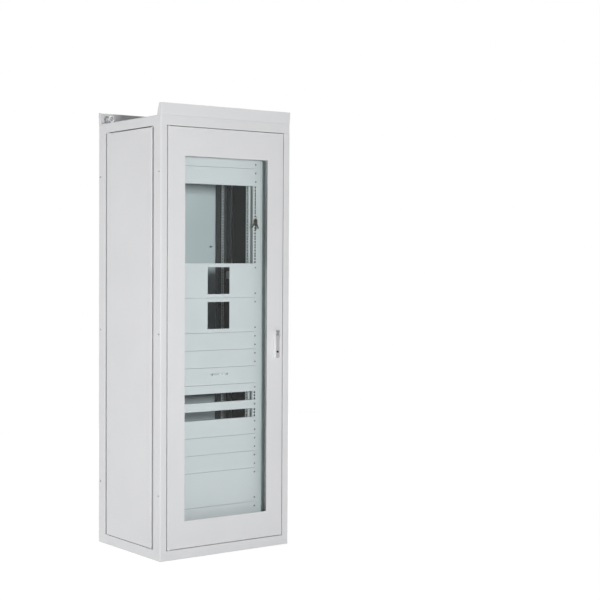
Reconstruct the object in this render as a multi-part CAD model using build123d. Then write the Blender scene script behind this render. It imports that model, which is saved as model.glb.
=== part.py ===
from build123d import *
import math
import os

os.makedirs("parts", exist_ok=True)

# Floor-standing sheet-steel cabinet for fibre and 19-inch equipment, in millimetres.
# X runs across the front, Y from the front to the rear, Z up from the floor.
# The origin is on the floor, in the middle of the footprint.

# Cabinet
width = 800.0
depth = 600.0
body_height = 2200.0
corner_radius = 4.0

# Welded frame
frame_sheet = 2.0
frame_rail = 49.0
stile_width = 38.0
post_side = 66.0
post_leaf = 34.0
rebate = 30.0
stop_lip = 17.0
gusset_reach = 70.0
gusset_sheet = 4.0
baying_hole_radius = 4.5
baying_hole_setback = 18.0
baying_hole_first = 324.0
baying_hole_pitch = 800.0
baying_hole_count = 3

# Anchor holes in the base frame's floor flange
anchor_hole_radius = 6.5
anchor_inset_x = 60.0
anchor_inset_y = 16.0
anchor_clearance = 1.5

# How far a cutting tool runs past the faces that it goes through
past = 1.0

# Roof, floor and headers
cover_sheet = 1.5
floor_clearance = 1.0
cable_opening_width = 400.0
cable_opening_depth = 100.0
cable_opening_setback = 80.0
header_height = 60.0
header_lean = 5.0
header_foot = 36.0
header_crown = 16.0

# Lifting eyes
eye_inset_x = 40.0
eye_inset_y = 60.0
eye_shank_radius = 5.0
eye_shank_length = 22.0
eye_collar_radius = 11.0
eye_collar_height = 5.0
eye_ring_radius = 15.0
eye_wire_radius = 4.5
eye_seat = 1.0
eye_turn = 12.0
shank_clearance = 0.5

# Side panels
groove_width = 17.0
groove_depth = 12.0
side_panel_lip = 14.0
side_panel_gap_top = 5.0
side_panel_gap_bottom = 3.0

# Doors
door_sheet = 1.5
door_gap = 4.0
door_fold = 24.0
door_lip = 12.0
door_bend = 3.5
pivot_inset = 12.0
pivot_setback = 10.0
pivot_radius = 5.0
pivot_clearance = 0.1
pivot_head_radius = 8.0
pivot_head_height = 4.0
pivot_engagement = 10.0
thrust_gap = 0.3
latch_slack = 0.5

# Glazed front door
window_stile = 102.0
window_rail_top = 142.0
window_rail_bottom = 134.0
glass_thickness = 5.0
glass_lap = 8.0
glass_corner = 3.0
gasket_thickness = 2.0
gasket_width = 7.0
gasket_clearance = 0.5
clip_width = 20.0
clip_sheet = 1.5
clip_reach = 4.0
clip_leg = 15.0
clips_per_side = 5
clips_per_end = 2
stiffener_width = 20.0
stiffener_depth = 26.5
stiffener_gap = 2.0

# Vented rear doors
vent_rows = 3
vent_row_height = 41.0
vent_row_pitch = 57.0
vent_slots = 24
vent_slot_width = 5.0
vent_slot_pitch = 9.4
vent_foot = 84.0

# Rack
rack_unit = 44.45
rack_bottom = 141.1
rack_setback = 74.0
rear_rack_setback = 184.0
rack_opening = 440.0
rail_flange = 48.0
rail_sheet = 2.0
rail_overrun = 25.0
rail_outer_lip = 26.0
rail_web_front = 14.0
rear_rail_web_front = 30.0
rail_web_jog = 6.0
rail_web_middle = 14.0
rail_web_rear = 26.0
rail_return = 16.0
rail_hole = 9.5
rail_hole_spacing = 465.1
rail_hole_first = 6.35
rail_hole_pitch = 15.875
rail_holes_per_unit = 3

# Braces and brackets that carry the rails
brace_foot = 125.0
brace_knee = 560.0
brace_chest = 1390.0
brace_head = 2040.0
brace_width = 34.0
brace_height = 40.0
bracket_sheet = 2.0
bracket_depth = 22.0
bracket_setback = 3.0
filler_gap = 0.3
filler_return = 20.0
filler_clearance = 0.5

# Rack panels, from the top: kind and height in rack units
panel_stack = (
    ("blank", 2),
    ("blank", 2),
    ("open", 9),
    ("cutout", 4),
    ("cutout", 4),
    ("blank", 2),
    ("blank", 2),
    ("drawer", 2),
    ("blank", 1),
    ("open", 1),
    ("blank", 1),
    ("open", 1),
    ("blank", 2),
    ("blank", 2),
    ("blank", 2),
    ("blank", 4),
    ("blank", 2),
)
panel_width = 482.6
panel_sheet = 2.0
panel_gap = 0.8
panel_fold = 15.0
panel_side_gap = 3.0
cutout_width = 137.0
cutout_height = 138.0

# Drawer
drawer_depth = 340.0
drawer_wall_height = 70.0
drawer_sheet = 1.5
runner_height = 36.0
runner_sheet = 1.5
runner_web = 1.5
runner_clearance = 0.5
slide_flange = 4.0
slide_shortfall = 10.0
drawer_side_gap = 16.0
pull_width = 102.0
pull_stand_off = 24.0
pull_rod_radius = 4.5
pull_bend = 11.0
pull_rise = 10.0

# Swing-handle lock, drawn about its spindle axis
lock_height_above_floor = 1108.0
front_lock_inset = 44.0
rear_lock_inset = 42.0
lock_plate_above = 22.0
lock_plate_below = 128.0
lock_plate_top_width = 28.0
lock_plate_flare_width = 38.0
lock_plate_flare_drop = 5.5
lock_plate_width = 32.0
lock_plate_thickness = 4.0
lock_plate_corner = 8.0
lock_plate_blend = 20.0
lock_plate_edge = 1.0
lock_face_gap = 0.5
lever_thickness = 14.0
lever_fork_width = 28.0
lever_fork_length = 14.0
lever_waist_width = 21.0
lever_waist_start = 37.0
lever_waist_end = 62.0
lever_foot_width = 24.0
lever_foot_start = 89.0
lever_length = 124.0
lever_corner = 8.0
lever_blend = 30.0
lever_slot_width = 18.0
lever_pin_radius = 2.5
head_width = 17.0
head_top_width = 24.0
head_top_setback = 3.0
head_gap = 2.0
fork_round_flat = 0.05
spindle_radius = 8.0
spindle_hole_clearance = 1.0
spindle_tail = 3.0
spindle_square = 8.0
spindle_clearance = 0.1
cam_depth = 36.0
cam_thickness = 3.0
cam_width = 16.0
cam_corner = 4.0
front_cam_reach = 45.0
rear_cam_reach = 54.0
cam_fit = 0.05
plug_drop = 92.0
plug_radius = 5.5
plug_clearance = 0.08
plug_length = 8.0
plug_proud = 0.6
key_slot_width = 1.6
key_slot_height = 6.0
key_slot_depth = 3.0

# Spare keys hung from two rail holes
key_hole_height = 1703.0
key_ring_radius = 10.0
key_wire_radius = 0.9
key_seat_gap = 0.3
key_eye_radius = 2.8
key_bow_width = 20.0
key_bow_height = 22.0
key_bow_thickness = 3.0
key_bow_shoulder = 5.0
key_bow_corner = 5.0
key_blade_root = 2.0
key_blade_width = 7.0
key_blade_length = 31.0
key_blade_thickness = 2.0
key_spacing = 3.3
key_angles = (34.0, -2.0, -24.0)

# Counts of flat sides and short lengths that keep the small round pieces light
bar_sides = 8
wire_sides = 6
nut_sides = 6
light_hole_sides = 12
eye_segment_count = 16
key_ring_segment_count = 20
pull_bend_segment_count = 3

# Sizes that follow from the ones above
half_width = width / 2
half_depth = depth / 2
opening_half = half_width - stile_width
opening_bottom = frame_rail
opening_top = body_height - frame_rail
door_half = opening_half - door_gap
door_bottom = opening_bottom + door_gap
door_top = opening_top - door_gap
frame_flange = rebate + frame_sheet
rack_height = rack_unit * sum(units for kind, units in panel_stack)
rack_top = rack_bottom + rack_height
rack_half = rack_opening / 2
rail_outer = rack_half + rail_flange
rail_face = half_depth - rack_setback
rear_rail_face = half_depth - rear_rack_setback
rail_hole_offsets = [rail_hole_first + rail_hole_pitch * index for index in range(rail_holes_per_unit)]
brace_levels = (brace_foot, brace_knee, brace_chest, brace_head)
brace_inner = half_width - groove_depth - frame_sheet - brace_width


def block(x0, x1, y0, y1, z0, z1):
    """Box between two corners."""
    return Pos((x0 + x1) / 2, (y0 + y1) / 2, (z0 + z1) / 2) * Box(x1 - x0, y1 - y0, z1 - z0)


def fuse(pieces):
    """One shape from a list of touching or overlapping shapes."""
    return Part() + list(pieces)


def cut(body, tools):
    """The body less every tool."""
    tools = list(tools)
    return body - tools if tools else body


def rod(radius, start, direction, length):
    """Round bar from start, along a unit direction."""
    return extrude(Plane(origin=start, z_dir=direction) * Circle(radius), length)


def many_sided(radius, sides, start, direction, length):
    """Bar with flat sides, from start along a unit direction: radius is to the middle of a side."""
    section = RegularPolygon(radius, sides, major_radius=False)
    return extrude(Plane(origin=start, z_dir=direction) * section, length)


def bent_bar(corners, bar_radius, sides, close):
    """Bar of flat-sided section along straight lengths, mitred where they meet."""
    path = Wire.make_polygon(corners, close=close)
    section = Plane(origin=path @ 0, x_dir=(1, 0, 0), z_dir=path % 0) * RegularPolygon(bar_radius, sides)
    return sweep(section, path=path, transition=Transition.RIGHT)


def arc_corners(x, y, z, radius, first_turn, last_turn, count):
    """Level points on an arc about (x, y, z), in count equal steps from the first turn to the last."""
    turns = [first_turn + (last_turn - first_turn) * index / count for index in range(count + 1)]
    return [(x + radius * math.cos(turn), y + radius * math.sin(turn), z) for turn in turns]


def bent_ring(radius, wire_radius, count, sides):
    """Ring of bar about the Z axis, bent in short straight lengths."""
    corners = arc_corners(0, 0, 0, radius, 0, 2 * math.pi, count)
    return bent_bar(corners[:-1], wire_radius, sides, True)


def sheet_outline(path, sheet):
    """Outline of a folded sheet: path is its outer face, and the metal lies on the left of it."""
    normals = []
    for (xa, ya), (xb, yb) in zip(path, path[1:]):
        run = math.hypot(xb - xa, yb - ya)
        normals.append((-(yb - ya) / run, (xb - xa) / run))
    inner = []
    for index, (x, y) in enumerate(path):
        before = normals[max(index - 1, 0)]
        after = normals[min(index, len(normals) - 1)]
        share = sheet / (1 + before[0] * after[0] + before[1] * after[1])
        inner.append((x + (before[0] + after[0]) * share, y + (before[1] + after[1]) * share))
    return list(path) + inner[::-1]


def polygon(points):
    """Face with straight edges through the points."""
    return make_face(Polyline(*points, close=True))


def blended(shape, radius, low, high):
    """A flat shape with its corners between two heights rounded."""
    return fillet([corner for corner in shape.vertices() if low < corner.Y < high], radius)


def near(shape_list, x, y):
    """The vertex nearest to a point of the sketch plane."""
    return shape_list.sort_by_distance((x, y, 0))[0]


def mirrored(shape, side_x, side_y=-1):
    """A shape drawn at the front right, placed at any corner of the cabinet."""
    if side_x < 0:
        shape = mirror(shape, about=Plane.YZ)
    if side_y > 0:
        shape = mirror(shape, about=Plane.XZ)
    return shape


def on_front(shape):
    """From a door's own frame, with its face at Y 0 and looking along -Y, to the front."""
    return Pos(0, -half_depth, 0) * shape


def on_rear(shape):
    """From a door's own frame to the rear, turned to look along +Y."""
    return Pos(0, half_depth, 0) * Rot(0, 0, 180) * shape


def pan(x0, x1, z0, z1, fold, lip, sheet):
    """Folded sheet tray: face at Y 0, folds running back, and a narrow lip all round."""
    tray = block(x0, x1, 0, fold, z0, z1)
    hollow = block(x0 + sheet, x1 - sheet, sheet, fold - sheet, z0 + sheet, z1 - sheet)
    mouth = block(x0 + lip, x1 - lip, sheet, fold + past, z0 + lip, z1 - lip)
    return tray - hollow - mouth


def edges_at(tray, places, y):
    """The upright edges of a tray at two places across it."""
    edges = tray.edges().filter_by(Axis.Z)
    return [e for e in edges if math.isclose(e.center().Y, y, abs_tol=1e-3)
            and any(math.isclose(e.center().X, x, abs_tol=1e-3) for x in places)]


def bend_front_edges(tray, x0, x1, radius, sheet):
    """Round the upright edges of a tray, outside and inside."""
    tray = fillet(edges_at(tray, (x0, x1), 0), radius)
    return fillet(edges_at(tray, (x0 + sheet, x1 - sheet), sheet), radius - sheet)


def lifted(shape, z0, z1):
    """A flat section extruded from one height to another."""
    return Pos(0, 0, z0) * extrude(shape, z1 - z0)


# Frame

def channel_ring(z0, z1):
    """Ring of inward channel: a wall on the outline and a flange at its top and bottom."""
    outer = block(-half_width, half_width, -half_depth, half_depth, z0, z1)
    outer = fillet(outer.edges().filter_by(Axis.Z), corner_radius)
    x = half_width - frame_sheet
    y = half_depth - frame_sheet
    hollow = block(-x, x, -y, y, z0 + frame_sheet, z1 - frame_sheet)
    x = half_width - frame_flange
    y = half_depth - frame_flange
    mouth = block(-x, x, -y, y, z0 - past, z1 + past)
    return outer - hollow - mouth


def stop_strip(side_y, z0, z1):
    """Door stop that stands on the inner edge of the ring's flange, between the posts."""
    x = opening_half - stop_lip
    strip = block(-x, x, -half_depth + rebate, -half_depth + rebate + frame_sheet, z0, z1)
    return mirrored(strip, 1, side_y)


def pivot_holes(z0, z1):
    """Round holes for the door pins in the ring's flanges, at the front left and both rear corners."""
    holes = []
    for side_x, side_y in pivot_corners:
        x = side_x * (door_half - pivot_inset)
        y = side_y * (half_depth - pivot_setback)
        holes.append(rod(pivot_radius, (x, y, z0), (0, 0, 1), z1 - z0))
    return holes


pivot_corners = ((-1, -1), (-1, 1), (1, 1))


def anchor_places():
    x = half_width - anchor_inset_x
    y = half_depth - anchor_inset_y
    return [(sx * x, sy * y) for sx in (-1, 1) for sy in (-1, 1)]


def base_frame():
    ring = channel_ring(0, frame_rail)
    stops = [stop_strip(side, frame_rail - frame_sheet, frame_rail + stop_lip) for side in (-1, 1)]
    frame = fuse([ring] + stops)
    holes = pivot_holes(frame_rail - frame_sheet - past, frame_rail + past)
    for x, y in anchor_places():
        holes.append(rod(anchor_hole_radius, (x, y, -past), (0, 0, 1), frame_sheet + 2 * past))
    return cut(frame, holes)


def eye_places():
    x = half_width - eye_inset_x
    y = half_depth - eye_inset_y
    return [(sx * x, sy * y) for sx in (-1, 1) for sy in (-1, 1)]


def eye_holes(z0, z1):
    """Clearance holes for the lifting eyes' shanks."""
    radius = eye_shank_radius + shank_clearance
    return [many_sided(radius, light_hole_sides, (x, y, z0), (0, 0, 1), z1 - z0) for x, y in eye_places()]


def top_frame():
    z0 = opening_top
    z1 = body_height - cover_sheet
    ring = channel_ring(z0, z1)
    stops = [stop_strip(side, z0 - stop_lip, z0 + frame_sheet) for side in (-1, 1)]
    x1 = half_width - frame_sheet
    y0 = -half_depth + frame_sheet
    under = z1 - frame_sheet
    gusset = block(x1 - gusset_reach, x1, y0, y0 + gusset_reach, under - gusset_sheet, under)
    gussets = [mirrored(gusset, sx, sy) for sx in (-1, 1) for sy in (-1, 1)]
    frame = fuse([ring] + stops + gussets)
    holes = pivot_holes(z0 - past, z0 + frame_sheet + past)
    holes += eye_holes(z1 - frame_sheet - gusset_sheet - past, z1 + past)
    return cut(frame, holes)


def corner_post():
    """Front right post: one sheet with the door rebate, both outer faces and the panel groove."""
    path = (
        (opening_half - stop_lip, -half_depth + rebate),
        (opening_half, -half_depth + rebate),
        (opening_half, -half_depth),
        (half_width, -half_depth),
        (half_width, -half_depth + post_side),
        (half_width - groove_depth, -half_depth + post_side),
        (half_width - groove_depth, -half_depth + post_side + post_leaf),
    )
    section = polygon(sheet_outline(path, frame_sheet))
    section = fillet(near(section.vertices(), half_width, -half_depth), corner_radius)
    inside = (half_width - frame_sheet, -half_depth + frame_sheet)
    section = fillet(near(section.vertices(), *inside), corner_radius - frame_sheet)
    post = lifted(section, frame_rail, opening_top)
    y = -half_depth + baying_hole_setback
    holes = []
    for index in range(baying_hole_count):
        z = baying_hole_first + index * baying_hole_pitch
        start = (half_width - frame_sheet - past, y, z)
        holes.append(rod(baying_hole_radius, start, (1, 0, 0), frame_sheet + 2 * past))
    return cut(post, holes)


def side_panel():
    """Folded side panel in its own frame, face at Y 0."""
    half = half_depth - post_side - groove_width
    z0 = frame_rail + side_panel_gap_bottom
    z1 = opening_top - side_panel_gap_top
    return pan(-half, half, z0, z1, groove_depth, side_panel_lip, cover_sheet)


def roof_panel():
    z1 = body_height
    sheet = block(-half_width, half_width, -half_depth, half_depth, z1 - cover_sheet, z1)
    sheet = fillet(sheet.edges().filter_by(Axis.Z), corner_radius)
    return cut(sheet, eye_holes(z1 - cover_sheet - past, z1 + past))


def floor_panel():
    """Sheet on the base frame's lower flange, with the cable entry near the rear."""
    x = half_width - frame_sheet - floor_clearance
    y = half_depth - frame_sheet - floor_clearance
    z0 = frame_sheet
    z1 = z0 + cover_sheet
    sheet = block(-x, x, -y, y, z0, z1)
    rear = half_depth - cable_opening_setback
    half = cable_opening_width / 2
    holes = [block(-half, half, rear - cable_opening_depth, rear, z0 - past, z1 + past)]
    radius = anchor_hole_radius + anchor_clearance
    for x, y in anchor_places():
        holes.append(many_sided(radius, light_hole_sides, (x, y, z0 - past), (0, 0, 1), z1 - z0 + 2 * past))
    return cut(sheet, holes)


def header():
    """Front header: a foot on the roof, a face that leans out, and tapered end returns."""
    crown = body_height + header_height
    face_path = (
        (-half_depth + header_foot, body_height),
        (-half_depth, body_height),
        (-half_depth - header_lean, crown),
    )
    outline = sheet_outline(face_path, -cover_sheet)
    strip = extrude(Plane.YZ * polygon(outline), width / 2, both=True)
    y = half_depth + header_lean + past
    strip = strip & block(-half_width, half_width, -y, y, body_height, crown)
    end = (
        (-half_depth, body_height),
        (-half_depth + header_foot, body_height),
        (-half_depth + header_crown, crown),
        (-half_depth - header_lean, crown),
    )
    cheek = extrude(Plane.YZ * polygon(end), cover_sheet)
    cheeks = [Pos(-half_width, 0, 0) * cheek, Pos(half_width - cover_sheet, 0, 0) * cheek]
    return fuse([strip] + cheeks)


def lifting_eye():
    """Eye bolt on the roof: shank, collar and ring."""
    up = (0, 0, 1)
    shank = many_sided(eye_shank_radius, light_hole_sides, (0, 0, -eye_shank_length), up, eye_shank_length)
    collar = many_sided(eye_collar_radius, light_hole_sides, (0, 0, 0), up, eye_collar_height)
    centre = eye_collar_height + eye_ring_radius + eye_wire_radius - eye_seat
    ring = Rot(90, 0, 0) * bent_ring(eye_ring_radius, eye_wire_radius, eye_segment_count, bar_sides)
    return fuse([shank, collar, Pos(0, 0, centre) * Rot(0, 0, eye_turn) * ring])


# Rack

def rack_rail(face, web_front):
    """Rack rail at the front right: holed flange, joggled web and two returns, from one sheet."""
    y0 = -face
    y1 = y0 + web_front
    y2 = y1 + rail_web_jog
    y3 = y2 + rail_web_middle
    y4 = y3 + rail_web_jog
    y5 = y4 + rail_web_rear
    set_out = rack_half + rail_web_jog
    path = (
        (rail_outer, y0 + rail_outer_lip),
        (rail_outer, y0),
        (rack_half, y0),
        (rack_half, y1),
        (set_out, y2),
        (set_out, y3),
        (rack_half, y4),
        (rack_half, y5),
        (rack_half + rail_return, y5),
    )
    section = polygon(sheet_outline(path, -rail_sheet))
    return lifted(section, rack_bottom - rail_overrun, rack_top + rail_overrun)


def hole_heights(offsets):
    units = round(rack_height / rack_unit)
    return [rack_bottom + rack_unit * unit + offset for unit in range(units) for offset in offsets]


def holed_rail(face, web_front, offsets):
    """The rail with a square hole at each chosen height."""
    x = rail_hole_spacing / 2
    half = rail_hole / 2
    y0 = -face - past
    y1 = -face + rail_sheet + past
    punches = [block(x - half, x + half, y0, y1, z - half, z + half) for z in hole_heights(offsets)]
    return cut(rack_rail(face, web_front), punches)


def braces():
    """Square tubes from post to post, four on each side."""
    y = rail_face - bracket_setback
    x1 = brace_inner + brace_width
    tubes = []
    for z in brace_levels:
        tube = block(brace_inner, x1, -y, y, z, z + brace_height)
        s = bracket_sheet
        bore = block(brace_inner + s, x1 - s, -y - past, y + past, z + s, z + brace_height - s)
        tubes.append(tube - bore)
    return tubes + [mirror(tube, about=Plane.YZ) for tube in tubes]


def rail_bracket(face, z):
    """U-shaped bracket at the front right, between a brace and the rail's outer lip."""
    y0 = -face + bracket_setback
    y1 = y0 + bracket_depth
    s = bracket_sheet
    plate = block(rail_outer, brace_inner, y0, y1, z, z + brace_height)
    return plate - block(rail_outer + s, brace_inner - s, y0 - past, y1 + past, z + s, z + brace_height + past)


def rail_brackets():
    """Brackets on both sides, for the front and the rear rails, at each brace."""
    brackets = []
    for z in brace_levels:
        for side_x in (-1, 1):
            brackets.append(mirrored(rail_bracket(rail_face, z), side_x, -1))
            brackets.append(mirrored(rail_bracket(rear_rail_face, z), side_x, 1))
    return brackets


def filler_strip():
    """Front right filler between the rail and the post, with one return along the post's leaf."""
    leaf = half_width - groove_depth - frame_sheet
    path = ((rail_outer + filler_gap, -rail_face), (leaf, -rail_face), (leaf, -rail_face + filler_return))
    section = polygon(sheet_outline(path, cover_sheet))
    strip = lifted(section, rack_bottom - rail_overrun, rack_top + rail_overrun)
    notches = []
    y0 = -rail_face + cover_sheet + filler_clearance
    x0 = brace_inner - filler_clearance
    for z in brace_levels:
        z0 = z - filler_clearance
        z1 = z + brace_height + filler_clearance
        notches.append(block(x0, leaf + past, y0, y0 + filler_return, z0, z1))
    return cut(strip, notches)


def panel_blank(units, z0):
    """Front panel with ears: folded top and bottom between the rails."""
    z0 = z0 + panel_gap / 2
    z1 = z0 + units * rack_unit - panel_gap
    y0 = -rail_face - panel_sheet
    half = panel_width / 2
    face = block(-half, half, y0, -rail_face, z0, z1)
    fold_half = rack_half - panel_side_gap
    pieces = [face]
    for z in (z0, z1 - panel_sheet):
        pieces.append(block(-fold_half, fold_half, y0, -rail_face + panel_fold, z, z + panel_sheet))
    return fuse(pieces)


def panel_cutout(units, z0):
    """The same panel with a square opening for an instrument in its middle."""
    centre = z0 + units * rack_unit / 2
    half = cutout_width / 2
    z = cutout_height / 2
    y0 = -rail_face - panel_sheet - past
    return panel_blank(units, z0) - block(-half, half, y0, -rail_face + past, centre - z, centre + z)


# Drawer

def stack_places():
    """Kind, units and lower edge of each entry of the stack, from the top down."""
    places = []
    z = rack_top
    for kind, units in panel_stack:
        z -= units * rack_unit
        places.append((kind, units, z))
    return places


drawer_units, drawer_z = [(units, z) for kind, units, z in stack_places() if kind == "drawer"][0]
drawer_half = rack_half - drawer_side_gap
drawer_middle = drawer_z + drawer_units * rack_unit / 2


def drawer_front():
    """Flat drawer front over the rails, with a stiffening fold at its top and bottom."""
    z0 = drawer_z + panel_gap / 2
    z1 = z0 + drawer_units * rack_unit - panel_gap
    half = panel_width / 2
    y0 = -rail_face - panel_sheet
    y1 = -rail_face - latch_slack
    pieces = [block(-half, half, y0, y1, z0, z1)]
    fold_half = rack_half - panel_side_gap
    for z in (z0, z1 - panel_sheet):
        pieces.append(block(-fold_half, fold_half, y0, y1 + panel_fold, z, z + panel_sheet))
    return fuse(pieces)


def drawer_tray():
    """Open tray behind the front."""
    z0 = drawer_middle - drawer_wall_height / 2
    z1 = z0 + drawer_wall_height
    y0 = -rail_face - latch_slack
    y1 = y0 + drawer_depth
    s = drawer_sheet
    outer = block(-drawer_half, drawer_half, y0, y1, z0, z1)
    return outer - block(-drawer_half + s, drawer_half - s, y0 + s, y1 - s, z0 + s, z1 + past)


def drawer_pull():
    """Bow pull: one bar bent twice, with its ends on the drawer front."""
    half = pull_width / 2 - pull_rod_radius
    face = -rail_face - panel_sheet
    z = drawer_middle + pull_rise
    x = half - pull_bend
    y = face - pull_stand_off + pull_bend
    quarter = math.pi / 2
    left = arc_corners(-x, y, z, pull_bend, 2 * quarter, 3 * quarter, pull_bend_segment_count)
    right = arc_corners(x, y, z, pull_bend, 3 * quarter, 4 * quarter, pull_bend_segment_count)
    corners = [(-half, face, z)] + left + right + [(half, face, z)]
    return bent_bar(corners, pull_rod_radius, bar_sides, False)


def runner_channels():
    """Fixed channels on the rails' webs, open towards the drawer."""
    y0 = -rail_face + 2 * runner_clearance
    y1 = rear_rail_face - 2 * runner_clearance
    x1 = rack_half
    x0 = drawer_half + runner_clearance
    z0 = drawer_middle - runner_height / 2
    z1 = z0 + runner_height
    s = runner_sheet
    channel = block(x0, x1, y0, y1, z0, z1)
    channel = channel - block(x0 - past, x1 - s, y0 - past, y1 + past, z0 + s, z1 - s)
    return [channel, mirror(channel, about=Plane.YZ)]


def runner_slides():
    """Moving members on the tray's sides, inside the channels."""
    x0 = drawer_half
    x1 = rack_half - runner_sheet - runner_clearance
    z = runner_height / 2 - runner_sheet - runner_clearance
    y0 = -rail_face + 2 * runner_clearance
    y1 = y0 + drawer_depth - slide_shortfall
    slide = block(x0, x1, y0, y1, drawer_middle - z, drawer_middle + z)
    z -= slide_flange
    x0 += runner_web
    slide = slide - block(x0, x1 + past, y0 - past, y1 + past, drawer_middle - z, drawer_middle + z)
    return [slide, mirror(slide, about=Plane.YZ)]


# Doors

def pivot_pins():
    """Pins in the frame's flanges, with hexagonal heads: the lower ones carry the doors on a collar."""
    pins = []
    up = (0, 0, 1)
    for side_x, side_y in pivot_corners:
        x = side_x * (door_half - pivot_inset)
        y = side_y * (half_depth - pivot_setback)
        reach = door_gap + door_sheet + pivot_engagement
        under = opening_bottom - frame_sheet
        start = (x, y, under - pivot_head_height)
        head = many_sided(pivot_head_radius, nut_sides, start, up, pivot_head_height)
        shank = rod(pivot_radius, (x, y, under), up, frame_sheet + reach)
        start = (x, y, opening_bottom)
        collar = many_sided(pivot_head_radius, light_hole_sides, start, up, door_gap - thrust_gap)
        pins.append(fuse([head, shank, collar]))
        over = opening_top + frame_sheet
        head = many_sided(pivot_head_radius, nut_sides, (x, y, over), up, pivot_head_height)
        shank = rod(pivot_radius, (x, y, opening_top - reach), up, frame_sheet + reach)
        pins.append(fuse([head, shank]))
    return pins


def door_pan(x0, x1, hinge_x):
    """Door tray in its own frame, with a hole for the pin in its top and bottom folds."""
    tray = pan(x0, x1, door_bottom, door_top, door_fold, door_lip, door_sheet)
    tray = bend_front_edges(tray, x0, x1, door_bend, door_sheet)
    hole = pivot_radius + pivot_clearance
    tools = []
    for z in (door_bottom, door_top - door_sheet):
        tools.append(rod(hole, (hinge_x, pivot_setback, z - past), (0, 0, 1), door_sheet + 2 * past))
    return cut(tray, tools)


window_half = door_half - window_stile
window_bottom = door_bottom + window_rail_bottom
window_top = door_top - window_rail_top


def lock_hole(x):
    """Clearance for the spindle's neck through a door's face."""
    start = (x, -past, lock_height_above_floor)
    return rod(spindle_radius + spindle_hole_clearance, start, (0, 1, 0), door_sheet + 2 * past)


def front_door_frame():
    tray = door_pan(-door_half, door_half, -door_half + pivot_inset)
    window = block(-window_half, window_half, -past, door_sheet + past, window_bottom, window_top)
    return on_front(tray - window - lock_hole(front_lock_x))


def window_gasket():
    """Rubber frame between the door's face and the glass."""
    y0 = door_sheet
    y1 = y0 + gasket_thickness
    w = gasket_width
    outer = block(-window_half - w, window_half + w, y0, y1, window_bottom - w, window_top + w)
    g = gasket_clearance
    inner = block(-window_half - g, window_half + g, y0 - past, y1 + past, window_bottom - g, window_top + g)
    return on_front(outer - inner)


def door_glass():
    """Pane with cut corners, lapped by the window's edge all round."""
    y0 = door_sheet + gasket_thickness
    half = window_half + glass_lap
    pane = block(-half, half, y0, y0 + glass_thickness, window_bottom - glass_lap, window_top + glass_lap)
    return on_front(chamfer(pane.edges().filter_by(Axis.Y), glass_corner))


def clip_section():
    """Angle clip: its tongue behind the glass and its leg on the stiffener beside it."""
    glass_back = door_sheet + gasket_thickness + glass_thickness
    edge = glass_lap + stiffener_gap
    path = (
        (glass_lap - clip_reach, glass_back),
        (edge, glass_back),
        (edge, glass_back + clip_leg),
    )
    return polygon(sheet_outline(path, clip_sheet))


def glass_clips():
    """Clips spaced along both stiles, and along the top and bottom of the glass."""
    clips = []
    half = clip_width / 2
    side = extrude(clip_section(), clip_width)
    span = window_top - window_bottom
    for index in range(clips_per_side):
        z = window_bottom + span * (index + 0.5) / clips_per_side - half
        clip = Pos(window_half, 0, z) * side
        clips += [clip, mirror(clip, about=Plane.YZ)]
    end = Rot(0, -90, 0) * extrude(clip_section(), clip_width)
    for index in range(clips_per_end):
        x = -window_half + 2 * window_half * (index + 0.5) / clips_per_end + half
        top = Pos(x, 0, window_top) * end
        clips += [top, Pos(0, 0, window_bottom + window_top) * mirror(top, about=Plane.XY)]
    return [on_front(clip) for clip in clips]


def door_stiffeners():
    """Channels behind the door's face, one along each side of the glass."""
    gap = glass_lap + stiffener_gap
    x0 = window_half + gap
    y1 = door_sheet + stiffener_depth
    s = door_sheet
    w = stiffener_width
    z0 = window_bottom - gap - w
    z1 = window_top + gap
    bar = block(x0, x0 + w, door_sheet, y1, z0, z1 + w)
    y0 = door_sheet - past
    bar = bar - block(x0 + s, x0 + w - s, y0, y1 - s, z0 - past, z1 + w + past)
    rung = block(-x0, x0, door_sheet, y1, z1, z1 + w)
    rung = rung - block(-x0 - past, x0 + past, y0, y1 - s, z1 + s, z1 + w - s)
    lower = Pos(0, 0, window_bottom + window_top) * mirror(rung, about=Plane.XY)
    return [on_front(piece) for piece in (bar, mirror(bar, about=Plane.YZ), rung, lower)]


def vent_punches(centre):
    """Rows of narrow upright slots, centred across one leaf."""
    punches = []
    start = centre - vent_slot_pitch * (vent_slots - 1) / 2
    half = vent_slot_width / 2
    for row in range(vent_rows):
        z0 = door_bottom + vent_foot + row * vent_row_pitch
        for slot in range(vent_slots):
            x = start + slot * vent_slot_pitch
            punches.append(block(x - half, x + half, -past, door_sheet + past, z0, z0 + vent_row_height))
    return punches


def rear_leaf(side):
    """Rear leaf in its own frame: side 1 is on the right as seen from behind."""
    inner = door_gap / 2
    x0, x1 = (inner, door_half) if side > 0 else (-door_half, -inner)
    tray = door_pan(x0, x1, side * (door_half - pivot_inset))
    tray = cut(tray, vent_punches((x0 + x1) / 2))
    if side > 0:
        tray = tray - lock_hole(rear_lock_inset)
    return on_rear(tray)


# Lock, drawn with its spindle axis along Y through the origin and the door's face at Y 0

front_lock_x = door_half - front_lock_inset
lever_back = -lock_plate_thickness - lock_face_gap
lever_front = lever_back - lever_thickness
lever_middle = (lever_back + lever_front) / 2
fork_round = lever_thickness / 2


def round_edges(piece, height):
    """Round the edges across the lock at one height, so that the piece can turn about its cross pin."""
    edges = [e for e in piece.edges().filter_by(Axis.X) if math.isclose(e.center().Z, height, abs_tol=1e-3)]
    return fillet(edges, fork_round - fork_round_flat)


def both_sides(outline):
    """A closed outline from its right-hand half, given from the top down."""
    return list(outline) + [(-x, z) for x, z in reversed(outline)]


def upright(shape, thickness):
    """A flat shape stood on the door's face and extruded along -Y."""
    return extrude(Plane.XZ * shape, thickness)


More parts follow.
